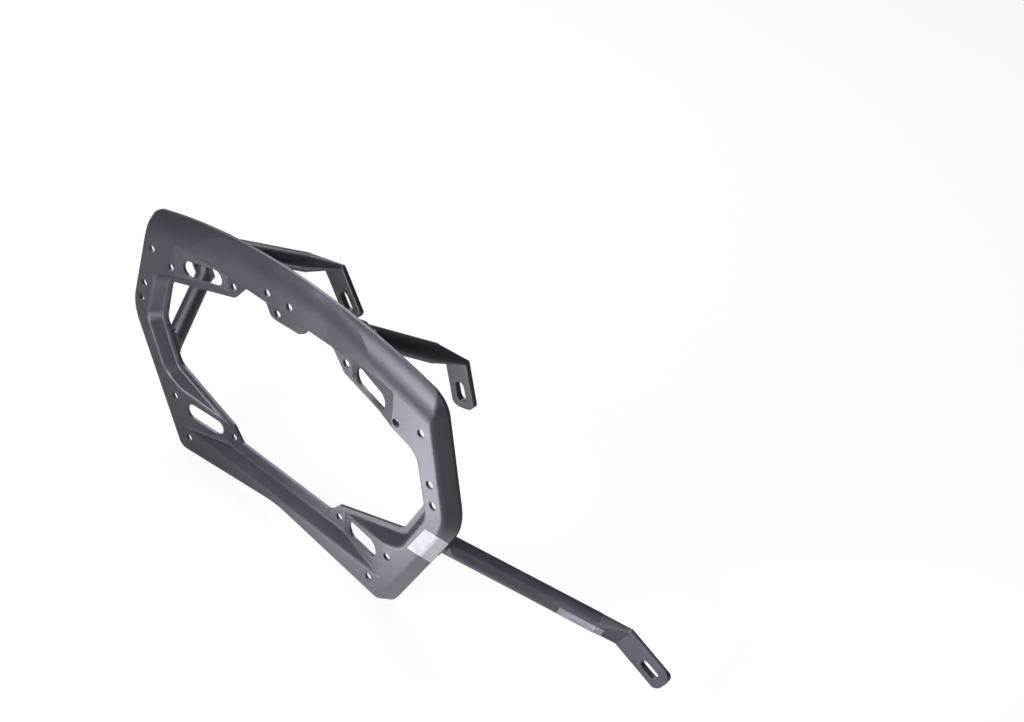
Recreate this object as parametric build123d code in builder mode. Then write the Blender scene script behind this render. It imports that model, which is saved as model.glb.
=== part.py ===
from build123d import *
from math import atan, degrees, hypot, isclose, sqrt
import os

os.makedirs("parts", exist_ok=True)

# Frame: X runs to the right as seen from the outside, Y points inwards to the machine, Z is up.
# The origin is the centre of the four corner holes, on the outer face of the raised ends.

# pressed sheet
sheet = 2.5
base = 11.0
skirt = 6.0
deep = 60.0
flange_run = 7.0
wall_run = 6.0
fold_radius = 5.0
wall_radius = 4.0
ridge_radius = 3.0
floor_radius = 3.0

# outer edge, right half, with the corner radius of each point
rim_top = 122.4
rim_arc = 617.0
rim_points = [(0, 141.8), (168.3, 99.6), (195.6, 0), (129.8, -122.3), (0, -105)]
rim_radii = [rim_arc, 22, 45, 16, 100]

# opening, right half
open_top = 81.1
open_bottom = -74.5
open_points = [(0, open_top), (51, open_top), (64.5, 65.5), (147, 39.6), (156.5, -1)]
open_points += [(137.5, -38.5), (66, -62.5), (55, open_bottom), (0, open_bottom)]
open_radii = [0, 6, 5, 10, 12, 12, 5, 6, 0]

# foot of the inner wall, right half
foot_top = 84.0
foot_bottom = -85.0
foot_points = [(0, foot_top), (63, foot_top), (70.5, 68.4), (149, 44.5), (162, -1)]
foot_points += [(141, -42.5), (72, -65.5), (64, foot_bottom), (0, foot_bottom)]
foot_radii = [0, 8, 16, 12, 14, 14, 16, 8, 0]

# tongue on the upper bar
tongue_points = [(-28, foot_top), (-20.5, 72), (-14, 70.8), (12.5, 72.4), (19, 76), (23, foot_top)]
tongue_radius = 4.0

# upper bar: rolled outer side, and the lowered middle
roll_radius = 30.0
middle_depth = 5.0
middle_half = 53.0
middle_slope = 5.0 / 62.0

# sloping pads that carry the long slots
pad_edge = 128.0
pad_slope = 0.2

# holes and slots
hole = 7.0
corner_x, corner_z = 132.0, 64.4
tab_x, tab_z = 66.0, 74.8
end_holes = [(157, 69.8), (169.6, 30.8), (174.6, 14.1), (113.5, -98.4)]
middle_holes = [(-17.9, 95.9), (7.9, 96.5), (-12.6, 77.2)]
slot_x, slot_z = 98.5, 72.8
slot_length, slot_width = 39.5, 15.0
slot_tilt = 7.4

# stays
tube = 16.0
tube_wall = 2.3
flat_width = 25.0
flat_thick = 2 * tube_wall
neck = 22.0
press_step = 0.3
tip_reach = 15.0
tip_radius = 9.0
stay_slot_length, stay_slot_width = 18.0, 9.0

# start of each tube on its own line, point where it is folded, and centre of the slot in its tab
long_lower = [(149, 8.9, -27), (303.9, 80.8, -72.3), (330.3, 84, -87.6)]
short_lower = [(-143, 6, -21.3), (-222.7, 106, -18.9), (-245, 113.3, -33.2)]
left_upper = [(-75.7, 8, 108.7), (-21.9, 77, 89.5), (-8.5, 80.3, 64.2)]
right_upper = [(83.1, 8.5, 112), (110.5, 83, 71.5), (117, 85.5, 45)]

weld_gap = 0.05
bead_steps = [(2.6, 1.2), (1.3, 2.4)]
bead_reach = 45.0

outside = Plane.XZ


def outline(points, radii):
    with BuildSketch() as shape:
        with BuildLine():
            left = [(-x, z) for x, z in reversed(points) if x > 0]
            Polyline(*points, *left, close=True)
        make_face()
        for (x, z), radius in zip(points, radii):
            if radius:
                corner = shape.vertices().filter_by(
                    lambda v: isclose(abs(v.X), x, abs_tol=1e-6) and isclose(v.Y, z, abs_tol=1e-6)
                )
                fillet(corner, radius)
    return shape.sketch


def nearest(edges, *points):
    return [min(edges, key=lambda e: e.distance_to(Vector(*p))) for p in points]


# point on the crest of the inner wall, a share of the way from one point of its foot to the next
def crest(start, end, share):
    (x1, z1), (x2, z2) = start, end
    run = hypot(x2 - x1, z2 - z1)
    x = x1 + share * (x2 - x1)
    z = z1 + share * (z2 - z1)
    out = wall_run * (z1 - z2) / run
    up = wall_run * (x2 - x1) / run
    depth = max(0, (pad_edge - x - out) * pad_slope / (1 - out * pad_slope / base))
    return (x + out * (1 - depth / base), depth, z + up * (1 - depth / base))


# tool that cuts one sloping pad: side is +1 or -1 across, foot is the line where its wall starts
def pad_cut(side, foot):
    up = 1 if foot > 0 else -1
    with BuildPart() as cut:
        with BuildSketch(Plane.XY.offset(20 * up)):
            with BuildLine():
                low = pad_edge - base / pad_slope
                high = pad_edge + 10 / pad_slope
                Polyline((high, -10), (low, base), (40, base), (40, -10), close=True)
            make_face()
            if side < 0:
                mirror(about=Plane.YZ, mode=Mode.REPLACE)
        extrude(amount=90 * up)
        wall = Plane(origin=(0, base, foot), x_dir=(1, 0, 0), z_dir=(0, wall_run, base * up))
        split(bisect_by=wall, keep=Keep.BOTTOM)
        fillet(nearest(cut.edges(), (side * 60, base, foot), (side * 90, base / 2, foot + up)), floor_radius)
    return cut.part


roll_start = rim_top - sqrt(roll_radius**2 - (roll_radius - base) ** 2)


# profile of the upper bar across its length: a flat crest that rolls over to the outer edge
def bar_profile(crest, inner):
    start = rim_top - sqrt(roll_radius**2 - (roll_radius - base + crest) ** 2)
    low = base + skirt - 1
    end = start + sqrt(roll_radius**2 - (roll_radius - low + crest) ** 2)
    with BuildSketch(Plane.YZ) as profile:
        with BuildLine():
            RadiusArc((crest, start), (low, end), roll_radius)
            Line((low, end), (low, 150))
            Polyline((low, 150), (-10, 150), (-10, inner), (crest, inner))
            if start > inner:
                Line((crest, inner), (crest, start))
        make_face()
    return profile.sketch


bar_axis = Axis((0, 0, rim_top - rim_arc), (0, 1, 0))
middle_turn = degrees(atan(middle_half / rim_arc))
middle_profile = bar_profile(middle_depth, 60).rotate(bar_axis, -middle_turn)
roll_profile = bar_profile(0, roll_start).rotate(bar_axis, -20)
rim = outline(rim_points, rim_radii)
foot_line = outline(foot_points, foot_radii)
pads = [pad_cut(across, line) for across in (1, -1) for line in (foot_top, foot_bottom)]

# lowered middle of the upper bar, with a straight rise to each end
with BuildPart() as middle:
    revolve(middle_profile, axis=bar_axis, revolution_arc=2 * middle_turn)
    ends = middle.faces().sort_by(Axis.X)
    rise = 1.6 * middle_depth / middle_slope
    drop = -rise * (middle_half + rise / 2) / rim_arc
    for face, way in ((ends[0], -1), (ends[-1], 1)):
        path = Vector(way * rise, -1.6 * middle_depth, drop)
        extrude(face, amount=path.length, dir=path)

# floor round the opening
with BuildPart() as well:
    with BuildSketch(outside.offset(-base)):
        add(foot_line)
    extrude(amount=base, taper=-degrees(atan(wall_run / base)))
    fillet(well.faces().sort_by(Axis.Y)[-1].edges(), floor_radius)

# the pressed skin is the space behind the outer face, less the same space moved in by the sheet
with BuildPart() as form:
    with BuildSketch(outside.offset(-base - skirt)):
        add(rim)
        offset(amount=skirt * flange_run / base)
    extrude(amount=-deep)
    rim_face = form.faces().sort_by(Axis.Y)[0]
    extrude(rim_face, amount=base + skirt, taper=degrees(atan(flange_run / base)))
    revolve(roll_profile, axis=bar_axis, revolution_arc=40, mode=Mode.SUBTRACT)
    add(middle.part, mode=Mode.SUBTRACT)
    add(well.part, mode=Mode.SUBTRACT)
    for pad in pads:
        add(pad, mode=Mode.SUBTRACT)

    # soft folds: outer side, then each end with its upper pad, then the crests of the two bars
    fillet(nearest(form.edges(), (rim_points[2][0] - 1.5 * flange_run, 0, 1)), fold_radius)
    lip = [crest(foot_points[2], foot_points[3], share) for share in (0.355, 0.65, 0.107)]
    lip.append(crest(foot_points[3], foot_points[4], 0.51))
    for across in (1, -1):
        fillet(nearest(form.edges(), *[(across * x, y, z) for x, y, z in lip]), wall_radius)
    fillet(nearest(form.edges(), (0, 0, foot_bottom - wall_run)), ridge_radius)
    fillet(nearest(form.edges(), (0, middle_depth, foot_top + wall_run * (1 - middle_depth / base))), wall_radius)

# opening with the tongue left standing
with BuildSketch() as tongue:
    with BuildLine():
        Polyline(*tongue_points, close=True)
    make_face()
    fillet(tongue.vertices().filter_by(lambda v: v.Y < open_top), tongue_radius)

open_line = outline(open_points, open_radii)

with BuildSketch() as opening:
    add(open_line)
    add(tongue.sketch, mode=Mode.SUBTRACT)

with BuildPart() as pressed_frame:
    with BuildSketch(outside.offset(-base - 2 * sheet)):
        add(rim)
        add(opening.sketch, mode=Mode.SUBTRACT)
    extrude(amount=base + 3 * sheet)
    add(form.part, mode=Mode.INTERSECT)
    add(form.part.moved(Location((0, sheet, 0))), mode=Mode.SUBTRACT)
    with BuildSketch(outside.offset(-base - 2 * sheet)):
        with GridLocations(2 * corner_x, 2 * corner_z, 2, 2):
            Circle(hole / 2)
        with GridLocations(2 * tab_x, 2 * tab_z, 2, 2):
            Circle(hole / 2)
        with Locations(*end_holes, *[(-x, z) for x, z in end_holes], *middle_holes):
            Circle(hole / 2)
        for across in (1, -1):
            for up in (1, -1):
                with Locations(Location((across * slot_x, up * slot_z), -across * up * slot_tilt)):
                    SlotOverall(slot_length, slot_width)
    extrude(amount=base + 4 * sheet, mode=Mode.SUBTRACT)


# space that the stays keep clear of: the sheet and everything in front of it, the opening too
with BuildPart() as front:
    with BuildSketch(outside.offset(-base - 2 * sheet)):
        add(rim)
        offset(amount=tube)
    extrude(amount=deep)
    add(form.part.moved(Location((0, sheet + weld_gap, 0))), mode=Mode.SUBTRACT)


# tube from foot towards fold, pressed flat there and bent on to a tab with a slot;
# both ends are shut and its inside is never seen, so it is one solid
def stay(foot, fold, slot):
    foot, fold, slot = Vector(*foot), Vector(*fold), Vector(*slot)
    along = (fold - foot).normalized()
    down = (slot - fold).normalized()
    face = (Vector(0, 1, 0) - down * down.Y).normalized()
    wide = face.cross(down)
    level = (along - wide * along.dot(wide)).normalized()
    start = fold - along * neck
    reach = (slot - fold).length + tip_reach
    flat = Plane(origin=fold, x_dir=down, z_dir=face)
    with BuildPart() as tab:
        with BuildSketch(Plane(origin=fold, x_dir=wide, z_dir=down)):
            SlotOverall(flat_width, flat_thick)
        extrude(amount=reach)
        with BuildSketch(flat):
            with Locations((reach / 2, 0)):
                Rectangle(reach, flat_width)
            with Locations((reach / 2 - tip_radius, 0)):
                RectangleRounded(reach + 2 * tip_radius, flat_width, tip_radius, mode=Mode.INTERSECT)
        extrude(amount=flat_thick, both=True, mode=Mode.INTERSECT)
        with BuildSketch(flat):
            with Locations(((slot - fold).length, 0)):
                SlotOverall(stay_slot_length, stay_slot_width)
        extrude(amount=flat_thick, both=True, mode=Mode.SUBTRACT)

    with BuildPart() as bend:
        with BuildSketch(Plane(origin=fold, x_dir=wide, z_dir=face)):
            SlotOverall(flat_width, flat_thick)
            with Locations((0, -flat_thick)):
                Rectangle(2 * flat_width, 2 * flat_thick, mode=Mode.SUBTRACT)
        revolve(axis=Axis(fold, wide))

    with BuildPart() as piece:
        with BuildSketch(Plane(origin=start, x_dir=wide, z_dir=along)):
            SlotOverall(tube - press_step, tube - 2 * press_step)
        with BuildSketch(Plane(origin=fold, x_dir=wide, z_dir=level)):
            SlotOverall(flat_width - press_step, flat_thick - press_step)
        loft()
        with BuildSketch(Plane(origin=foot, z_dir=along)):
            Circle(tube / 2)
        extrude(amount=(start - foot).length)
        add(bend.part)
        add(tab.part)
        add(front.part, mode=Mode.SUBTRACT)
    return piece.solids().sort_by(SortBy.VOLUME)[-1]


# weld round the foot of a tube: two steps of (width, height), lying on the inner face of the sheet
def weld(foot, fold):
    foot, fold = Vector(*foot), Vector(*fold)
    along = (fold - foot).normalized()
    base_plane = Plane(origin=foot - along * tube / 2, z_dir=along)
    steps = []
    for width, height in bead_steps:
        with BuildPart() as step:
            with BuildSketch(base_plane):
                Circle(tube / 2 + width)
            extrude(amount=bead_reach)
            add(front.part.moved(Location((0, height, 0))), mode=Mode.INTERSECT)
        steps.append(step.part)
    with BuildPart() as bead:
        for step in steps:
            add(step)
        with BuildSketch(outside.offset(-deep)):
            add(rim)
            add(opening.sketch, mode=Mode.SUBTRACT)
        extrude(amount=2 * deep, mode=Mode.INTERSECT)
        with BuildSketch(base_plane):
            Circle(tube / 2 + weld_gap)
        extrude(amount=bead_reach, mode=Mode.SUBTRACT)
        add(front.part, mode=Mode.SUBTRACT)
    return bead.part


stays = {
    "long_lower_stay": stay(*long_lower),
    "short_lower_stay": stay(*short_lower),
    "left_upper_stay": stay(*left_upper),
    "right_upper_stay": stay(*right_upper),
}

welds = {
    "long_lower_weld": weld(*long_lower[:2]),
    "short_lower_weld": weld(*short_lower[:2]),
    "left_upper_weld": weld(*left_upper[:2]),
    "right_upper_weld": weld(*right_upper[:2]),
}

pressed_frame.part.label = "pressed_frame"
export_step(pressed_frame.part, "parts/pressed_frame.step")
for name, part in {**stays, **welds}.items():
    part.label = name
    export_step(part, f"parts/{name}.step")
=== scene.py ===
import bmesh, bpy, math
from mathutils import Matrix, Vector


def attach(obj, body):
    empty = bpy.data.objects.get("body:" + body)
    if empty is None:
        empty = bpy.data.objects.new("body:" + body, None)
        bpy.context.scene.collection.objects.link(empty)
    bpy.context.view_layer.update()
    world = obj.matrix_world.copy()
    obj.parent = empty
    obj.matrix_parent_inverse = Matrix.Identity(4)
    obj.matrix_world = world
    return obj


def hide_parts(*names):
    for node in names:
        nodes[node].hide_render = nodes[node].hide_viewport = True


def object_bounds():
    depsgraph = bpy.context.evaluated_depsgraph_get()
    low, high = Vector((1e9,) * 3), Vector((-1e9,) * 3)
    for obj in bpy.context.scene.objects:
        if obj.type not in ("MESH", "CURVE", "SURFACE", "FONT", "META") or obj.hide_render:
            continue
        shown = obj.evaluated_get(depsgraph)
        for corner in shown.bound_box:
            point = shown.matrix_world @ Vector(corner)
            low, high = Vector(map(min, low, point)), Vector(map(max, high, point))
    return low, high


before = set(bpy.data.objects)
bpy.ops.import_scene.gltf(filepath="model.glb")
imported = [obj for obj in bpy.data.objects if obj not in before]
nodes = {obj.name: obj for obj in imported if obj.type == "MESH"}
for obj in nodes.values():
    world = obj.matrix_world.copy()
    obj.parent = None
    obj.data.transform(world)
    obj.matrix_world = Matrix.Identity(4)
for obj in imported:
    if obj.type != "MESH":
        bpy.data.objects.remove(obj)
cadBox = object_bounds()
print("frame loaded:", len(nodes), "nodes")

# where the photograph was taken from: the camera stands there, and the labels are set out from there
viewSpec = {"at": (0.7361, -0.6184, 0.7292), "lens": 53.466, "sensor": 36, "near": 0.01,
            "right": (0.72516, 0.68132, 0.09972), "up": (-0.45249, 0.36234, 0.81484),
            "back": (0.51903, -0.63602, 0.57104)}
eye = Vector(viewSpec["at"])


# sRGB hex to the linear colour that sockets take
def linearColour(hexText):
    channels = [int(hexText[i:i + 2], 16) / 255 for i in (1, 3, 5)]
    return [c / 12.92 if c <= 0.04045 else ((c + 0.055) / 1.055) ** 2.4 for c in channels] + [1.0]


# adds one node, sets its properties and inputs, and links the inputs given as sockets; i0, i1, i2 go by number
def addNode(tree, kind, props=None, **inputs):
    node = tree.nodes.new(kind)
    for key, value in (props or {}).items():
        setattr(node, key, value)
    for key, value in inputs.items():
        numbered = key[0] == "i" and key[1:].isdigit()
        socket = node.inputs[int(key[1:]) if numbered else key]
        if isinstance(value, bpy.types.NodeSocket):
            tree.links.new(value, socket)
        else:
            socket.default_value = value
    return node


def newMaterial(name):
    material = bpy.data.materials.new(name)
    material.use_nodes = True
    material.node_tree.nodes.clear()
    return material, material.node_tree


def paint(piece, material):
    piece.data.materials.clear()
    piece.data.materials.append(material)


# noise with features of about the given size
def noise(tree, place, sizeMm, detail, roughness):
    node = addNode(tree, "ShaderNodeTexNoise", Vector=place, Scale=1000 / sizeMm, Detail=detail, Roughness=roughness)
    return node.outputs["Fac"]


# ramp from the dark to the light tone of a finish
def toneRamp(tree, factor, stops, spec):
    node = addNode(tree, "ShaderNodeValToRGB", Fac=factor)
    for i, tone in enumerate(("dark", "light")):
        node.color_ramp.elements[i].position = stops[i]
        node.color_ramp.elements[i].color = linearColour(spec[tone])
    return node.outputs["Color"]


# satin powder coat on steel: a baked polyester skin with a soft sheen, faint orange peel and a fine grain
coatSpec = {"stops": (0.3, 0.7), "roughSpread": 0.03, "peelDepth": 0.0002, "grainDepth": 0.0001}


def powderCoat(name, spec):
    material, tree = newMaterial(name)
    place = addNode(tree, "ShaderNodeTexCoord").outputs["Object"]
    peel = noise(tree, place, spec["peelMm"], detail=2.0, roughness=0.5)
    grain = noise(tree, place, spec["grainMm"], detail=1.0, roughness=0.5)
    cloud = noise(tree, place, spec["cloudMm"], detail=4.0, roughness=0.6)
    tint = toneRamp(tree, cloud, coatSpec["stops"], spec)
    rough = addNode(tree, "ShaderNodeMapRange", Value=cloud, **{
        "From Min": coatSpec["stops"][0], "From Max": coatSpec["stops"][1],
        "To Min": spec["rough"] - coatSpec["roughSpread"], "To Max": spec["rough"] + coatSpec["roughSpread"]})
    bumpPeel = addNode(tree, "ShaderNodeBump", Height=peel, Strength=spec["peel"], Distance=coatSpec["peelDepth"])
    bumpGrain = addNode(tree, "ShaderNodeBump", Height=grain, Strength=spec["grain"],
                        Distance=coatSpec["grainDepth"], Normal=bumpPeel.outputs["Normal"])
    skin = addNode(tree, "ShaderNodeBsdfPrincipled", Roughness=rough.outputs["Result"], IOR=spec["ior"],
                   Normal=bumpGrain.outputs["Normal"],
                   **{"Base Color": tint, "Specular Tint": linearColour(spec["glint"])})
    addNode(tree, "ShaderNodeOutputMaterial", Surface=skin.outputs["BSDF"])
    return material


# the IOR is set above a polyester's 1.5, for the strong sheen in the photograph
ringFinish = {"dark": "#3c3a42", "light": "#434149", "rough": 0.40, "ior": 2.3, "glint": "#e6e3f2",
              "peelMm": 1.6, "grainMm": 0.45, "cloudMm": 30, "peel": 0.12, "grain": 0.25}
stayFinish = {"dark": "#3a3840", "light": "#424048", "rough": 0.38, "ior": 1.9, "glint": "#e6e3f2",
              "peelMm": 1.6, "grainMm": 0.45, "cloudMm": 20, "peel": 0.12, "grain": 0.2}
weldFinish = {"dark": "#3e3d43", "light": "#49484f", "rough": 0.4, "ior": 1.8, "glint": "#e6e3f2",
              "peelMm": 2.2, "grainMm": 0.6, "cloudMm": 8, "peel": 1.0, "grain": 0.3}

coats = {
    "ring": powderCoat("satin powder coat, pressed sheet", ringFinish),
    "stay": powderCoat("satin powder coat, drawn tube", stayFinish),
    "weld": powderCoat("satin powder coat over weld", weldFinish),
}
for name, node in nodes.items():
    kind = "weld" if name.endswith("weld") else "stay" if name.endswith("stay") else "ring"
    paint(node, coats[kind])
print("coats on")

# paper and foil labels, left blank: a thin film with a faint fibre or rolling grain
filmSpec = {"stops": (0.35, 0.65), "fibreDepth": 0.00005, "creaseAngle": 40}


def labelFilm(name, spec):
    material, tree = newMaterial(name)
    place = addNode(tree, "ShaderNodeTexCoord").outputs["Object"]
    fibre = noise(tree, place, spec["fibreMm"], detail=3.0, roughness=0.6)
    smudge = noise(tree, place, spec["smudgeMm"], detail=3.0, roughness=0.5)
    tint = toneRamp(tree, smudge, filmSpec["stops"], spec)
    bump = addNode(tree, "ShaderNodeBump", Height=fibre, Strength=spec["bump"], Distance=filmSpec["fibreDepth"])
    film = addNode(tree, "ShaderNodeBsdfPrincipled", Metallic=spec["metal"], Roughness=spec["rough"],
                   Normal=bump.outputs["Normal"], **{"Base Color": tint})
    addNode(tree, "ShaderNodeOutputMaterial", Surface=film.outputs["BSDF"])
    return material


# thickens an open patch outwards into a closed film, and hands it to the frame
def finishFilm(piece, thick, film):
    bpy.ops.object.mode_set(mode="OBJECT")
    wall = piece.modifiers.new("thickness", "SOLIDIFY")
    wall.thickness = thick
    wall.offset = 1.0
    bpy.ops.object.modifier_apply(modifier=wall.name)
    bpy.ops.object.shade_smooth_by_angle(angle=math.radians(filmSpec["creaseAngle"]))
    paint(piece, film)
    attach(piece, "root")


mergeReach = 1e-6


# copies a node's mesh into a new piece, merges its seams and leaves it in edit mode
def openCopy(name, source):
    bpy.ops.object.select_all(action="DESELECT")
    piece = bpy.data.objects.new(name, source.data.copy())
    bpy.context.scene.collection.objects.link(piece)
    piece.select_set(True)
    bpy.context.view_layer.objects.active = piece
    bpy.ops.object.mode_set(mode="EDIT")
    bpy.ops.mesh.select_all(action="SELECT")
    bpy.ops.mesh.remove_doubles(threshold=mergeReach)
    return piece


# cuts the piece in edit mode back to the side of each plane that its normal points away from
def cutBack(planes):
    for point, normal in planes:
        bpy.ops.mesh.select_all(action="SELECT")
        bpy.ops.mesh.bisect(plane_co=point, plane_no=normal, clear_outer=True)


# deletes the faces that the test picks and lifts the rest clear of the coat
def keepSkin(piece, dropped, lift):
    shell = bmesh.from_edit_mesh(piece.data)
    for face in shell.faces:
        face.select_set(dropped(face))
    bmesh.update_edit_mesh(piece.data)
    bpy.ops.mesh.delete(type="FACE")
    bpy.ops.mesh.select_all(action="SELECT")
    bpy.ops.transform.shrink_fatten(value=lift)


# hand-run weld beads: each CAD bead meshed finely, then swollen into overlapping ripples
beadSpec = {"voxel": 0.00035, "rippleMm": 2.4, "octaves": 1, "swell": 0.0014, "level": 0.25,
            "softness": 0.5, "rounds": 8}
ripple = bpy.data.textures.new("weld ripple", "CLOUDS")
ripple.noise_scale = beadSpec["rippleMm"] / 1000
ripple.noise_depth = beadSpec["octaves"]
for name in sorted(n for n in nodes if n.endswith("_weld")):
    bead = openCopy(name.replace("_weld", "_bead"), nodes[name])
    bpy.ops.object.mode_set(mode="OBJECT")
    fine = bead.modifiers.new("fine", "REMESH")
    fine.mode = "VOXEL"
    fine.voxel_size = beadSpec["voxel"]
    swell = bead.modifiers.new("swell", "DISPLACE")
    swell.texture = ripple
    swell.texture_coords = "LOCAL"
    swell.strength = beadSpec["swell"]
    swell.mid_level = beadSpec["level"]
    soft = bead.modifiers.new("soft", "SMOOTH")
    soft.factor = beadSpec["softness"]
    soft.iterations = beadSpec["rounds"]
    for modifier in ("fine", "swell", "soft"):
        bpy.ops.object.modifier_apply(modifier=modifier)
    bpy.ops.object.shade_smooth()
    paint(bead, coats["weld"])
    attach(bead, "root")
    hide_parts(name)
print("welds rippled")

# blank white label folded over the lower right edge, cut along the sight lines of its corners
cornerLabel = {"corners": ((0.1693, 0, -0.0110), (0.1965, 0, -0.0084), (0.1803, 0, -0.0378), (0.1528, 0, -0.0411)),
               "leastFacing": 0.15, "outward": -0.2, "lift": 0.00005, "thick": 0.00012}
paperFilm = {"dark": "#dddce6", "light": "#eeedf4", "rough": 0.5, "metal": 0.0,
             "fibreMm": 0.5, "smudgeMm": 9, "bump": 0.3}
corners = [Vector(c) for c in cornerLabel["corners"]]
middle = sum(corners, Vector()) / len(corners)
sides = []
for start, end in zip(corners, corners[1:] + corners[:1]):
    across = (start - eye).cross(end - eye).normalized()
    if across.dot(middle - eye) > 0:
        across.negate()
    sides.append((eye, across))


# picks the faces that the label leaves bare: turned away from the camera, or not looking outwards
def bareFace(face):
    toEye = (eye - face.calc_center_median()).normalized()
    return face.normal.dot(toEye) < cornerLabel["leastFacing"] or face.normal.y > cornerLabel["outward"]


label = openCopy("corner_label", nodes["pressed_frame"])
cutBack(sides)
keepSkin(label, bareFace, cornerLabel["lift"])
finishFilm(label, cornerLabel["thick"], labelFilm("satin label paper, blank", paperFilm))

# blank silver label on the long stay, cut across its axis and along it, without faces that look along the stay
stayLabel = {"foot": (0.1490, 0.0089, -0.0270), "fold": (0.3039, 0.0808, -0.0723), "from": 0.124, "to": 0.161,
             "arc": (22, 120), "endFace": 0.9, "lift": 0.00005, "thick": 0.00010}
foilFilm = {"dark": "#77757f", "light": "#8b8994", "rough": 0.5, "metal": 0.15,
            "fibreMm": 0.4, "smudgeMm": 6, "bump": 0.2}
foot, fold = Vector(stayLabel["foot"]), Vector(stayLabel["fold"])
along = (fold - foot).normalized()
facing = (eye - fold).normalized()
facing = (facing - along * facing.dot(along)).normalized()
below = along.cross(facing)
first, last = [below * math.cos(math.radians(a)) - facing * math.sin(math.radians(a)) for a in stayLabel["arc"]]
sides = [(foot + along * stayLabel["from"], -along), (foot + along * stayLabel["to"], along),
         (foot, -first), (foot, last)]
band = openCopy("stay_label", nodes["long_lower_stay"])
cutBack(sides)
keepSkin(band, lambda face: abs(face.normal.dot(along)) > stayLabel["endFace"], stayLabel["lift"])
finishFilm(band, stayLabel["thick"], labelFilm("brushed foil label, blank", foilFilm))
print("labels on")

# pale floor under the lowest edge of the ring: an even white to the camera; in reflections it glows as painted
# reflection, with a bright painted pool in front of the ring's right end and a dim painted glow that fades out
# towards +X
floorSpec = {"size": 12.0, "drop": 0.0005, "colour": "#808080", "seen": 0.88,
             "mirrored": 0.15, "paintedReflectionFar": 0.02, "fade": (0.12, 0.34),
             "pool": (0.14, -0.02), "paintedPoolReach": 0.19, "paintedPoolGlow": 0.8}
bpy.ops.object.select_all(action="DESELECT")
bpy.ops.mesh.primitive_plane_add(size=floorSpec["size"], location=(0, 0, cadBox[0][2] - floorSpec["drop"]))
floor = bpy.context.object
floor.name = "floor"
paper, tree = newMaterial("white paper sweep with painted reflection glow")
path = addNode(tree, "ShaderNodeLightPath")
matt = addNode(tree, "ShaderNodeBsdfDiffuse", Color=linearColour(floorSpec["colour"]))
seen = addNode(tree, "ShaderNodeMath", {"operation": "MULTIPLY"}, i0=path.outputs["Is Camera Ray"],
               i1=floorSpec["seen"])
here = addNode(tree, "ShaderNodeTexCoord").outputs["Object"]
place = addNode(tree, "ShaderNodeSeparateXYZ", Vector=here)
# painted reflection: the floor's glow seen in reflections fades along X from the near to the far strength
fade = addNode(tree, "ShaderNodeMapRange", Value=place.outputs["X"], **{
    "From Min": floorSpec["fade"][0], "From Max": floorSpec["fade"][1],
    "To Min": floorSpec["mirrored"], "To Max": floorSpec["paintedReflectionFar"]})
# painted reflection: a bright pool of glow around the given point, seen only in reflections
apart = addNode(tree, "ShaderNodeVectorMath", {"operation": "DISTANCE"}, i0=here, i1=(*floorSpec["pool"], 0.0))
pool = addNode(tree, "ShaderNodeMapRange", {"interpolation_type": "SMOOTHSTEP"}, Value=apart.outputs["Value"], **{
    "From Max": floorSpec["paintedPoolReach"], "To Min": floorSpec["paintedPoolGlow"], "To Max": 0.0})
sheen = addNode(tree, "ShaderNodeMath", {"operation": "ADD"}, i0=fade.outputs["Result"], i1=pool.outputs["Result"])
# glossy rays get the painted reflection glow, camera rays the even white
mirrored = addNode(tree, "ShaderNodeMath", {"operation": "MULTIPLY_ADD"}, i0=path.outputs["Is Glossy Ray"],
                   i1=sheen.outputs["Value"], i2=seen.outputs["Value"])
glow = addNode(tree, "ShaderNodeEmission", Strength=mirrored.outputs["Value"])
both = addNode(tree, "ShaderNodeAddShader", i0=matt.outputs["BSDF"], i1=glow.outputs["Emission"])
addNode(tree, "ShaderNodeOutputMaterial", Surface=both.outputs["Shader"])
floor.data.materials.append(paper)

# world: white to the camera, a dim room to everything else
roomSpec = {"room": "#565659", "strength": 0.6}
world = bpy.data.worlds.new("room")
bpy.context.scene.world = world
world.use_nodes = True
tree = world.node_tree
tree.nodes.clear()
path = addNode(tree, "ShaderNodeLightPath")
room = addNode(tree, "ShaderNodeBackground", Color=linearColour(roomSpec["room"]), Strength=roomSpec["strength"])
white = addNode(tree, "ShaderNodeBackground", Color=(1, 1, 1, 1), Strength=1.0)
mixed = addNode(tree, "ShaderNodeMixShader", Fac=path.outputs["Is Camera Ray"], i1=room.outputs["Background"],
                i2=white.outputs["Background"])
addNode(tree, "ShaderNodeOutputWorld", Surface=mixed.outputs["Shader"])
print("floor and room set")


# hangs a lamp at its place, turned to what it faces
def hangLamp(name, kind, spec):
    data = bpy.data.lights.new(name, kind)
    data.energy = spec["watts"]
    lamp = bpy.data.objects.new(name, data)
    bpy.context.scene.collection.objects.link(lamp)
    aim = (Vector(spec["to"]) - Vector(spec["at"])).to_track_quat("-Z", "Y")
    lamp.matrix_world = Matrix.Translation(spec["at"]) @ aim.to_matrix().to_4x4()
    return lamp


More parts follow.
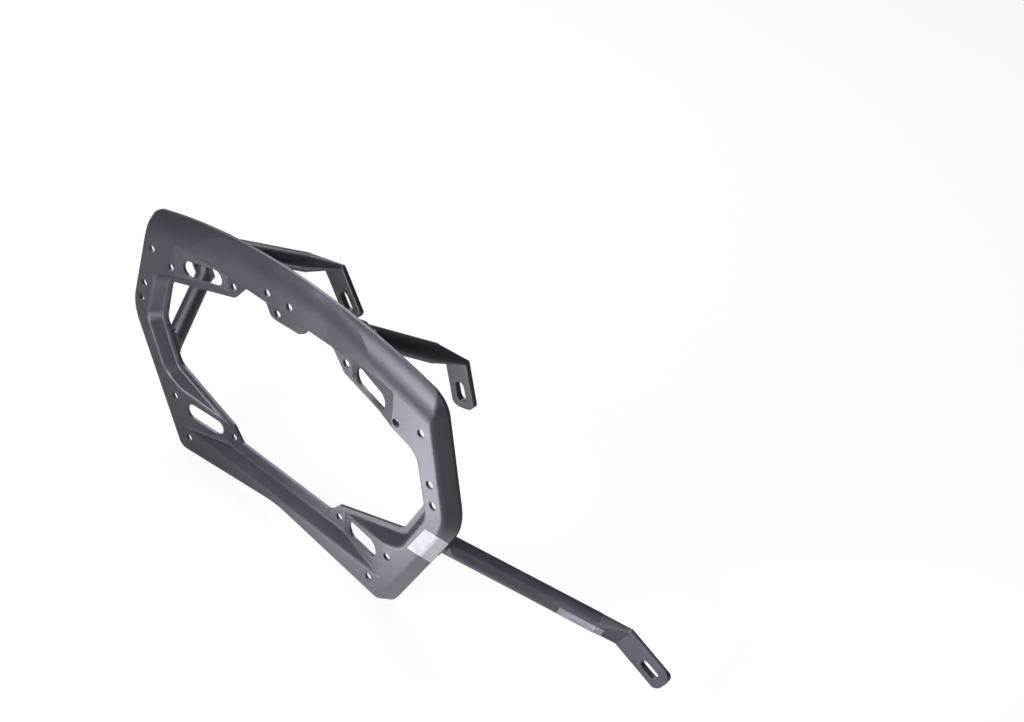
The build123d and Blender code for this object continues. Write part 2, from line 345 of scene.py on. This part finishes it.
# soft boxes: place, what they face, size in metres, watts, and whether the coat mirrors them
lampSpec = {
    "front box": {"at": (-0.10, -1.10, 0.68), "to": (0.12, 0, 0.10), "size": (0.8, 0.6),
                  "watts": 9.0, "mirrored": True},
    "back box": {"at": (-0.80, 0.55, 1.25), "to": (-0.05, 0.05, 0), "size": (1.2, 1.0),
                 "watts": 13, "mirrored": True},
    "low box": {"at": (0.75, -0.45, 0.02), "to": (0.17, 0, -0.03), "size": (0.4, 0.3),
                "watts": 2.2, "mirrored": False},
    "eye box": {"at": (0.814, -0.714, 0.815), "to": (0.22, 0.04, -0.05), "size": (0.3, 0.3),
                "watts": 0.4, "mirrored": True},
}
for name, spec in lampSpec.items():
    lamp = hangLamp(name, "AREA", spec)
    lamp.data.shape = "RECTANGLE"
    lamp.data.size, lamp.data.size_y = spec["size"]
    lamp.visible_glossy = spec["mirrored"]

# spots: two on the paper in front of the ring, whose light the coat mirrors, one on the tab of the long stay
spotEdge = {"blend": 1.0, "softSize": 0.05}
spotSpec = {
    "near paper spot": {"at": (0.04, -0.45, 1.20), "to": (0.04, -0.15, -0.12), "cone": 10, "watts": 1400},
    "far paper spot": {"at": (-0.05, -0.70, 1.20), "to": (-0.05, -0.36, -0.12), "cone": 13, "watts": 3000},
    "tab spot": {"at": (-0.10, -0.80, 0.30), "to": (0.33, 0.08, -0.085), "cone": 9, "watts": 105},
}
for name, spec in spotSpec.items():
    lamp = hangLamp(name, "SPOT", spec)
    lamp.data.spot_size = math.radians(spec["cone"])
    lamp.data.spot_blend = spotEdge["blend"]
    lamp.data.shadow_soft_size = spotEdge["softSize"]
print("lamps on")

lensData = bpy.data.cameras.new("camera")
lensData.lens = viewSpec["lens"]
lensData.sensor_width = viewSpec["sensor"]
lensData.clip_start = viewSpec["near"]
camera = bpy.data.objects.new("camera", lensData)
bpy.context.scene.collection.objects.link(camera)
turn = Matrix((viewSpec["right"], viewSpec["up"], viewSpec["back"])).transposed().to_4x4()
camera.matrix_world = Matrix.Translation(viewSpec["at"]) @ turn
bpy.context.scene.camera = camera
bpy.context.scene.view_settings.view_transform = "Standard"

print("scene ready")
